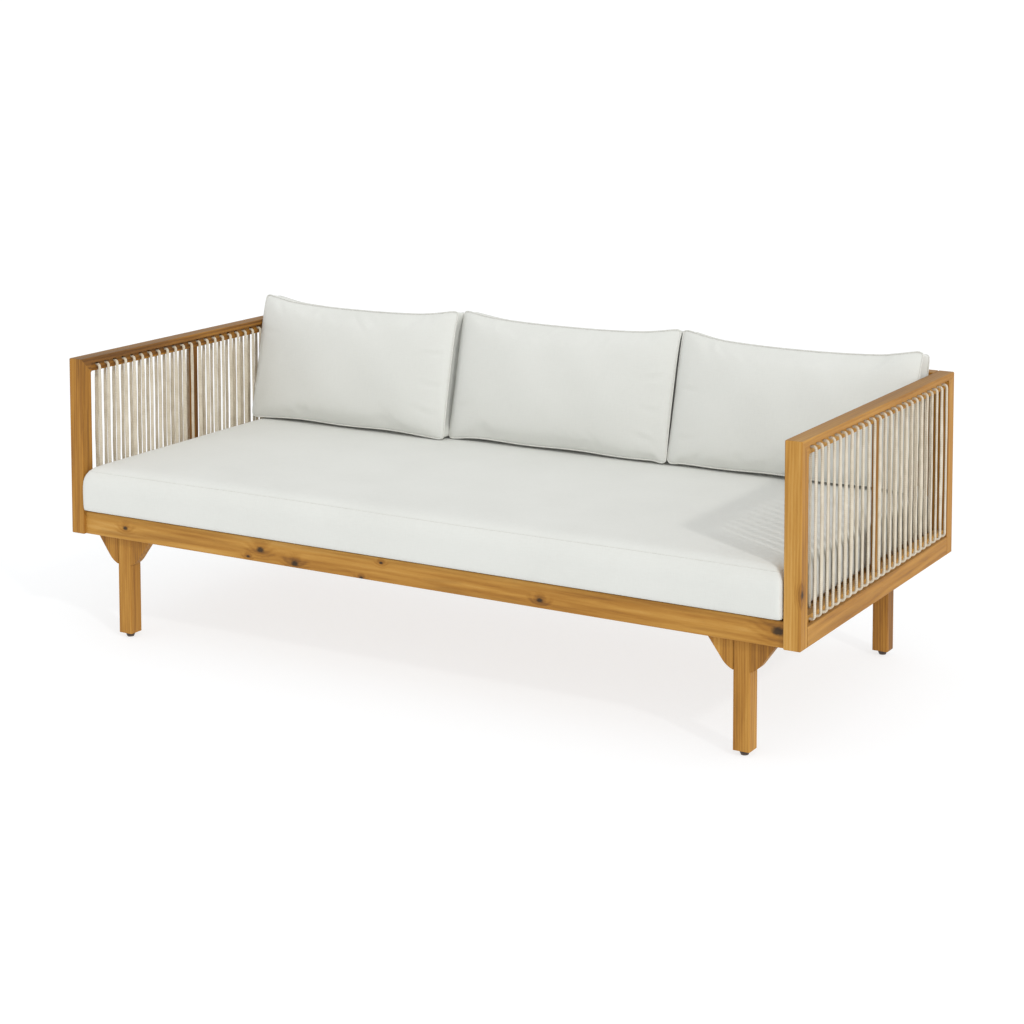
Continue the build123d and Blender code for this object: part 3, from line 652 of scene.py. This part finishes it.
def sewn_box(name, width, depth, height, cell, band_cuts, corner):
    """A closed cover lying flat, its middle at the origin: two panels and the band between.
    Its corners are rounded in plan, and the cloth's own directions are kept for the weave."""
    bpy.ops.object.select_all(action="DESELECT")
    bpy.ops.mesh.primitive_grid_add(
        x_subdivisions=round(width / cell), y_subdivisions=round(depth / cell), size=1.0,
        location=(0, 0, height / 2),
    )
    cover = bpy.context.object
    cover.name = name
    cover.data.name = name
    cover.scale = (width, depth, 1.0)
    bpy.ops.object.transform_apply(location=True, rotation=True, scale=True)
    bpy.ops.object.mode_set(mode="EDIT")
    bpy.ops.mesh.select_all(action="SELECT")
    bpy.ops.mesh.duplicate_move(TRANSFORM_OT_translate={"value": (0, 0, -height)})
    bpy.ops.mesh.flip_normals()
    bpy.ops.mesh.select_mode(type="EDGE")
    bpy.ops.mesh.select_all(action="DESELECT")
    bpy.ops.mesh.select_non_manifold(extend=False, use_wire=False, use_multi_face=False)
    bpy.ops.mesh.bridge_edge_loops(number_cuts=band_cuts)
    bpy.ops.mesh.select_all(action="SELECT")
    bpy.ops.mesh.normals_make_consistent(inside=False)
    bpy.ops.object.mode_set(mode="OBJECT")

    mesh = cover.data
    while mesh.uv_layers:
        mesh.uv_layers.remove(mesh.uv_layers[0])
    cloth = mesh.uv_layers.new(name="cloth")
    for face in mesh.polygons:
        facing = max(range(3), key=lambda k: abs(face.normal[k]))
        first, second = ((1, 2), (0, 2), (0, 1))[facing]
        for i in face.loop_indices:
            co = mesh.vertices[mesh.loops[i].vertex_index].co
            cloth.data[i].uv = (co[first], co[second])

    rows = points_of(mesh)
    rim = (np.abs(np.abs(rows[:, 0]) - width / 2) < 1e-5) | (np.abs(np.abs(rows[:, 1]) - depth / 2) < 1e-5)
    for level, seam in ((height / 2, "upper_seam"), (-height / 2, "lower_seam")):
        group = cover.vertex_groups.new(name=seam)
        held = np.nonzero(rim & (np.abs(rows[:, 2] - level) < 1e-5))[0]
        group.add([int(i) for i in held], 1.0, "REPLACE")
    over = np.maximum(np.abs(rows[:, :2]) - np.array([width, depth]) / 2 + corner, 0) / corner
    turned = over * np.sqrt(1 - over[:, ::-1] ** 2 / 2)
    both = (over > 0).all(axis=1)
    inner = np.minimum(np.abs(rows[:, :2]), np.array([width, depth]) / 2 - corner)
    rows[both, :2] = (np.sign(rows[:, :2]) * (inner + turned * corner))[both]
    set_points(mesh, rows)
    return cover


def stuff(cover, pressure, cap, give, gather=0.0, frames=20):
    """Fills a cover: the cloth is blown up against its seams, and no point goes further than
    cap. Gather draws the cloth in along the seams, so that it puckers there."""
    start = points_of(cover.data)
    seams = cover.vertex_groups.new(name="sewn")
    for seam in ("upper_seam", "lower_seam"):
        index = cover.vertex_groups[seam].index
        held = [v.index for v in cover.data.vertices if any(g.group == index for g in v.groups)]
        seams.add(held, 1.0, "REPLACE")
    cloth = cover.modifiers.new("filling", "CLOTH")
    way = cloth.settings
    way.quality = 6
    way.mass = 0.25
    way.use_pressure = True
    way.uniform_pressure_force = pressure
    way.tension_stiffness = give
    way.compression_stiffness = give
    way.shear_stiffness = give * 0.4
    way.bending_stiffness = 0.6
    way.tension_damping = 8
    way.compression_damping = 8
    way.air_damping = 2
    way.effector_weights.gravity = 0
    if gather:
        way.vertex_group_shrink = "sewn"
        way.shrink_min = 0.0
        way.shrink_max = gather
    cloth.collision_settings.use_collision = False
    cloth.point_cache.frame_start = 1
    cloth.point_cache.frame_end = frames
    scene = bpy.context.scene
    scene.frame_end = frames
    for frame_number in range(1, frames + 1):
        scene.frame_set(frame_number)
    bpy.ops.object.select_all(action="DESELECT")
    cover.select_set(True)
    bpy.context.view_layer.objects.active = cover
    bpy.ops.object.modifier_apply(modifier="filling")
    scene.frame_set(1)
    moved = points_of(cover.data) - start
    far = np.linalg.norm(moved, axis=1, keepdims=True)
    moved *= np.minimum(1.0, cap / np.maximum(far, 1e-9))
    set_points(cover.data, start + moved)


def finer(cover, levels=1):
    """One round of subdivision, kept in the mesh."""
    bpy.ops.object.select_all(action="DESELECT")
    cover.select_set(True)
    bpy.context.view_layer.objects.active = cover
    rounder = cover.modifiers.new("rounder", "SUBSURF")
    rounder.levels = levels
    rounder.render_levels = levels
    bpy.ops.object.modifier_apply(modifier="rounder")
    bpy.ops.object.shade_smooth()


def seam_line(cover, seam):
    """The points along one sewn edge, in order round it, each with the way the cloth faces."""
    index = cover.vertex_groups[seam].index
    mesh = cover.data
    held = set()
    for v in mesh.vertices:
        if any(g.group == index and g.weight > 0.9 for g in v.groups):
            held.add(v.index)
    beside = {i: [] for i in held}
    for edge in mesh.edges:
        a, b = edge.vertices
        if a in held and b in held:
            beside[a].append(b)
            beside[b].append(a)
    here = min(held)
    line, before = [], None
    while True:
        line.append((mesh.vertices[here].co.copy(), mesh.vertices[here].normal.copy()))
        ways = [i for i in beside[here] if i != before]
        before, here = here, ways[0]
        if here == min(held) or len(line) > len(held):
            return line


def welt(cover, seam, name, radius, proud):
    """The thin covered cord sewn into one edge of a cover."""
    bpy.ops.object.select_all(action="DESELECT")
    line = bpy.data.curves.new(name, "CURVE")
    line.dimensions = "3D"
    line.bevel_depth = radius
    line.bevel_resolution = 2
    path = seam_line(cover, seam)
    thread = line.splines.new("POLY")
    thread.points.add(len(path) - 1)
    for point, (place, outward) in zip(thread.points, path):
        point.co = (*(place + outward * proud), 1.0)
    thread.use_cyclic_u = True
    cord = bpy.data.objects.new(name, line)
    bpy.context.scene.collection.objects.link(cord)
    bpy.context.view_layer.objects.active = cord
    cord.select_set(True)
    bpy.ops.object.convert(target="MESH")
    cord = bpy.context.object
    bpy.ops.object.shade_smooth()
    return cord


def welt_fabric():
    """The cover's cloth cut on the bias round a cord."""
    finish, tree, shader = new_finish("welt_fabric")
    place = add_node(tree, "ShaderNodeTexCoord").outputs["Object"]
    slub = add_node(
        tree, "ShaderNodeTexNoise", {"Vector": place, "Scale": 420.0, "Detail": 3.0}
    ).outputs["Fac"]
    colour = shade_card(
        tree, slub, [(0.2, linear(196, 196, 189)), (0.8, linear(222, 222, 217))]
    )
    tree.links.new(colour, shader.inputs["Base Color"])
    tree.links.new(calc(tree, "MULTIPLY_ADD", slub, 0.15, 0.78), shader.inputs["Roughness"])
    relief = add_node(
        tree, "ShaderNodeBump", {"Height": slub, "Strength": 0.4, "Distance": 0.0004}
    ).outputs[0]
    tree.links.new(relief, shader.inputs["Normal"])
    shader.inputs["Sheen Weight"].default_value = 0.12
    return finish


WELT_FABRIC = welt_fabric()


def soft_limit(values, limit, blend):
    """Keeps values under a limit, easing into it over the last part."""
    over = values - (limit - blend)
    eased = limit - blend + blend * (1 - np.exp(-np.maximum(over, 0) / blend))
    return np.where(over > 0, eased, values)


seat_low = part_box("seat_cushion")[0]
SEAT_CELL = 0.014
SEAT_WIDTH = 1.932
SEAT_FRONT = -0.477
SEAT_REAR = 0.4225
SEAT_SEAM_LOW = 0.3212
SEAT_SEAM_HIGH = 0.4215
SEAT_RISE = 0.0148
SEAT_RISE_EASE = 0.020
SEAT_UPPER_TUCK = 0.0165
SEAT_LOWER_TUCK = 0.0025
SEAT_CORNER = 0.008
SEAT_TOP_LIMIT = 0.4372
SEAT_REAR_LIMIT = 0.4248
SIDE_LIMIT = 0.9573  # as far out as a cushion reaches, just short of the arm's inner strands
SEAT_UPPER_EASE = 0.024
SEAT_FOOT_SWELL = 0.0042
SEAT_FOOT_EASE = 0.012
SEAT_UNEVEN = 0.0012
SEAT_WELT_RADIUS = 0.0008
SEAT_WELT_SET_IN = 0.0001


def shape_seat(rows):
    """The foam's own shape: a rounder upper edge, a nearly square lower one, a level crown."""
    half = np.array([SEAT_WIDTH, SEAT_REAR - SEAT_FRONT]) / 2
    half_band = (SEAT_SEAM_HIGH - SEAT_SEAM_LOW) / 2
    inside = half - np.abs(rows[:, :2])
    depth_in = inside.min(axis=1).clip(0, None)
    level = (rows[:, 2] / half_band).clip(-1, 1)
    tuck = SEAT_UPPER_TUCK * level.clip(0, 1) ** 3 + SEAT_LOWER_TUCK * (-level).clip(0, 1) ** 3
    rows[:, :2] -= np.sign(rows[:, :2]) * tuck[:, None] * np.exp(-inside.clip(0, None) / SEAT_UPPER_EASE)
    top = level > 0.999
    foot = level < -0.999
    rows[top, 2] += SEAT_RISE * (1 - np.exp(-depth_in[top] / SEAT_RISE_EASE))
    rows[foot, 2] -= SEAT_FOOT_SWELL * (1 - np.exp(-depth_in[foot] / SEAT_FOOT_EASE))
    rows[:, 2] += SEAT_UNEVEN * np.sin(rows[:, 0] * 6.1 + 0.7) * np.sin(rows[:, 1] * 5.3 + 1.1) * top


seat_cover = sewn_box(
    "seat_cushion_cover", SEAT_WIDTH, SEAT_REAR - SEAT_FRONT, SEAT_SEAM_HIGH - SEAT_SEAM_LOW,
    SEAT_CELL, 9, SEAT_CORNER,
)
rows = points_of(seat_cover.data)
shape_seat(rows)
set_points(seat_cover.data, rows)
stuff(seat_cover, pressure=4.0, cap=0.0035, give=30.0, gather=0.002)
rows = points_of(seat_cover.data)
rows[:, 1] += (SEAT_FRONT + SEAT_REAR) / 2
rows[:, 2] += (SEAT_SEAM_LOW + SEAT_SEAM_HIGH) / 2
rows[:, 2] = soft_limit(rows[:, 2], SEAT_TOP_LIMIT, 0.003)
rows[:, 2] = -soft_limit(-rows[:, 2], -(seat_low.z + 0.0002), 0.002)
rows[:, 0] = soft_limit(rows[:, 0], SIDE_LIMIT, 0.002)
rows[:, 0] = -soft_limit(-rows[:, 0], SIDE_LIMIT, 0.002)
rows[:, 1] = soft_limit(rows[:, 1], SEAT_REAR_LIMIT, 0.003)
set_points(seat_cover.data, rows)
finer(seat_cover)
seat_cover.data.materials.append(COVER_FABRIC)
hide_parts("seat_cushion")
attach(seat_cover, "seat_cushion_body")
for seam, name in (("upper_seam", "seat_upper_welt"), ("lower_seam", "seat_lower_welt")):
    cord = welt(seat_cover, seam, name, SEAT_WELT_RADIUS, -SEAT_WELT_SET_IN)
    cord.data.materials.append(WELT_FABRIC)
    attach(cord, "seat_cushion_body")


# ---- Back cushions -----------------------------------------------------------------------
# Three loose, fibre-filled cushions in the same cloth, standing on the seat and leaning on the
# rope back. Each is sewn with a narrow band; filling draws the edges in and leaves the corners
# standing up, and each leans as it was dropped.

BACK_CELL = 0.0085
BACK_BAND = 0.058
BACK_PANEL_HEIGHT = 0.345
BACK_SWELL = 0.034
SIDE_PULL = 0.003
BAND_TUCK = 0.022
BACK_CORNER = 0.020
BACK_UNEVEN = 0.0018
FOOT_WAVE = 0.0014
BACK_WELT_RADIUS = 0.0021
BACK_WELT_PROUD = 0.0010
SEAT_SURFACE = SEAT_TOP_LIMIT + 0.0006
BACK_LIMIT = 0.4245
BACK_REACH_X = {
    "left": (-SIDE_LIMIT, -0.3240), "centre": (-0.3255, 0.3180), "right": (0.3195, SIDE_LIMIT),
}
BACK_CUSHIONS = {
    # name: (middle of its width, width, front seam at the foot, lean at each end, sag, seed)
    "left": (-0.6410, 0.656, 0.226, (11.2, 12.4), 0.015, 1),
    "centre": (-0.0038, 0.672, 0.256, (12.8, 13.8), 0.014, 2),
    "right": (0.6390, 0.660, 0.260, (14.2, 17.0), 0.018, 3),
}
CREASES = {
    # name: (place across, place up, turn in degrees, half length, half width, depth)
    "left": (
        (0.02, 0.115, -38, 0.040, 0.006, 0.0022), (0.06, 0.125, -30, 0.030, 0.005, 0.0018),
        (0.265, 0.05, 8, 0.030, 0.005, 0.0020), (0.262, -0.03, -5, 0.028, 0.005, 0.0018),
        (0.255, -0.10, -14, 0.032, 0.006, 0.0020), (-0.27, 0.07, -8, 0.028, 0.005, 0.0016),
    ),
    "centre": (
        (0.275, 0.04, 6, 0.030, 0.005, 0.0020), (0.272, -0.04, -6, 0.028, 0.005, 0.0020),
        (0.262, -0.11, -16, 0.032, 0.006, 0.0022), (-0.28, -0.08, 12, 0.026, 0.005, 0.0016),
        (-0.03, 0.12, 32, 0.034, 0.006, 0.0016),
    ),
    "right": (
        (0.268, 0.03, 8, 0.034, 0.005, 0.0022), (0.262, -0.06, -6, 0.030, 0.006, 0.0020),
        (-0.27, 0.02, -6, 0.028, 0.005, 0.0018), (0.10, 0.12, 26, 0.038, 0.006, 0.0016),
        (-0.265, -0.10, 14, 0.030, 0.006, 0.0018),
    ),
}


def shape_filling(rows, width, sag, seed):
    """The filled cushion before its cloth settles: sides drawn in, the top edge sagging
    between its corners, the middle swollen."""
    draw = random.Random(seed)
    phase = [draw.uniform(0, math.tau) for _ in range(3)]
    across = rows[:, 0] / (width / 2)
    up = rows[:, 1] / (BACK_PANEL_HEIGHT / 2)
    swell = (1 - np.abs(across) ** 2.6).clip(0, 1) ** 0.85 * (1 - np.abs(up) ** 2.4).clip(0, 1) ** 0.8
    uneven = BACK_UNEVEN * np.sin(rows[:, 0] * 29 + phase[0]) * np.sin(rows[:, 1] * 25 + phase[1])
    rows[:, 2] += np.sign(rows[:, 2]) * (BACK_SWELL + uneven) * swell
    pinch = (np.abs(across) ** 9 * np.abs(up.clip(0, 1)) ** 5).clip(0, 1)
    rows[:, 2] *= 1 - 0.35 * pinch
    middle_of_band = 1 - (rows[:, 2] / (BACK_BAND / 2)).clip(-1, 1) ** 2
    rim = (np.abs(across) > 0.985).astype(float)
    rows[:, 0] -= np.sign(across) * BAND_TUCK * middle_of_band * rim * (1 - np.abs(up) ** 4).clip(0, 1)
    rows[:, 0] -= np.sign(across) * SIDE_PULL * np.abs(across) ** 3 * (1 - np.abs(up) ** 2.2).clip(0, 1)
    bow = (1 - np.abs(across) ** 2.3).clip(0, 1)
    lift = ((up + 1) / 2).clip(0, 1)
    rows[:, 1] -= sag * bow * lift ** 1.6
    rows[:, 1] += FOOT_WAVE * np.sin(rows[:, 0] * 23 + phase[2]) * (1 - lift)


def press_creases(rows, creases):
    """Short folds in the front cloth where the filling pulls it."""
    front = rows[:, 2] > 0
    for across, up, turn, half_length, half_width, depth in creases:
        angle = math.radians(turn)
        east, north = rows[:, 0] - across, rows[:, 1] - up
        along = east * math.cos(angle) + north * math.sin(angle)
        over = -east * math.sin(angle) + north * math.cos(angle)
        fade = np.exp(-(along / half_length) ** 2)
        fold = np.exp(-(over / half_width) ** 2) - 0.55 * np.exp(-((over - 2.2 * half_width) / half_width) ** 2)
        rows[:, 2] -= depth * fade * fold * front


def stand_up(rows, middle, width, foot, lean):
    """Turns a cushion from lying to leaning, its foot spread flat on the seat and its front
    lower seam at the foot line."""
    upright_y = -rows[:, 2] + BACK_BAND / 2
    upright_z = rows[:, 1] + BACK_PANEL_HEIGHT / 2
    angle = np.radians(lean[0] + (lean[1] - lean[0]) * (rows[:, 0] / width + 0.5))
    rise = (upright_z / (0.55 * BACK_PANEL_HEIGHT)).clip(0, 1)
    rise = rise * rise * (3 - 2 * rise)
    return np.stack([
        rows[:, 0] + middle,
        upright_y * np.cos(angle) + upright_z * np.sin(angle) + foot,
        -upright_y * np.sin(angle) * rise + upright_z * np.cos(angle),
    ], axis=1)


for place, (middle_x, width, foot, lean, sag, seed) in BACK_CUSHIONS.items():
    node = f"back_cushion_{place}"
    cover = sewn_box(
        node + "_cover", width, BACK_PANEL_HEIGHT, BACK_BAND, BACK_CELL, 6, BACK_CORNER
    )
    rows = points_of(cover.data)
    shape_filling(rows, width, sag, seed)
    set_points(cover.data, rows)
    stuff(cover, pressure=3.0, cap=0.008, give=20.0, gather=0.003)
    rows = points_of(cover.data)
    press_creases(rows, CREASES[place])
    rows = stand_up(rows, middle_x, width, foot, lean)
    rows[:, 2] += SEAT_SURFACE + 0.0005
    rows[:, 2] = -soft_limit(-rows[:, 2], -SEAT_SURFACE, 0.004)
    rows[:, 1] = soft_limit(rows[:, 1], BACK_LIMIT, 0.004)
    rows[:, 0] = soft_limit(rows[:, 0], BACK_REACH_X[place][1], 0.005)
    rows[:, 0] = -soft_limit(-rows[:, 0], -BACK_REACH_X[place][0], 0.005)
    set_points(cover.data, rows)
    finer(cover)
    cover.data.materials.append(COVER_FABRIC)
    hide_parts(node)
    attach(cover, node + "_body")
    for seam, name in (("upper_seam", "front_welt"), ("lower_seam", "rear_welt")):
        cord = welt(cover, seam, f"{node}_{name}", BACK_WELT_RADIUS, BACK_WELT_PROUD)
        cord.data.materials.append(WELT_FABRIC)
        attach(cord, node + "_body")


# ---- Studio ------------------------------------------------------------------------------
# A pale seamless floor, an even white surround, and one soft lamp high on the right front.

FLOOR_REACH = 260.0
bpy.ops.object.select_all(action="DESELECT")
bpy.ops.mesh.primitive_circle_add(vertices=96, radius=FLOOR_REACH, fill_type="NGON")
floor = bpy.context.object
floor.name = "studio_floor"
paper, tree, shader = new_finish("floor_paper")
shader.inputs["Base Color"].default_value = (0.30, 0.31, 0.32, 1.0)
shader.inputs["Roughness"].default_value = 0.9
shader.inputs["Specular IOR Level"].default_value = 0.1
shader.inputs["Emission Color"].default_value = (1.0, 1.0, 1.0, 1.0)
shader.inputs["Emission Strength"].default_value = 0.72
floor.data.materials.append(paper)

surround = bpy.data.worlds.new("surround")
surround.use_nodes = True
sky_tree = surround.node_tree
ahead = add_node(sky_tree, "ShaderNodeTexCoord").outputs["Generated"]
toward = add_node(
    sky_tree, "ShaderNodeVectorMath", {0: ahead, 1: (0.87, -0.50, 0.0)}, operation="DOT_PRODUCT"
).outputs["Value"]
glow = calc(sky_tree, "MULTIPLY_ADD", toward, 0.30, 0.96)
sky_tree.links.new(glow, sky_tree.nodes["Background"].inputs["Strength"])
sky_tree.nodes["Background"].inputs["Color"].default_value = (0.99, 0.995, 1.0, 1.0)
bpy.context.scene.world = surround

bpy.ops.object.light_add(type="SUN", location=(3.5, -2.0, 2.7))
lamp = bpy.context.object
lamp.name = "soft_lamp"
lamp.data.energy = 0.70
lamp.data.angle = math.radians(3.5)
lamp.data.color = (1.0, 0.98, 0.95)
lamp.rotation_euler = Vector((0.35, -0.20, 0.273)).to_track_quat("Z", "Y").to_euler()

bpy.ops.object.camera_add(
    location=(2.785, -4.630, 1.675),
    rotation=(math.radians(90 - 4.833), 0.0, math.radians(29.851)),
)
camera = bpy.context.object
camera.data.sensor_width = 36.0
camera.data.lens = 77.54
camera.data.shift_x = -0.0360
camera.data.shift_y = -0.3454
camera.data.clip_end = 600.0
bpy.context.scene.camera = camera
bpy.context.scene.view_settings.view_transform = "Standard"
bpy.context.scene.view_settings.look = "None"
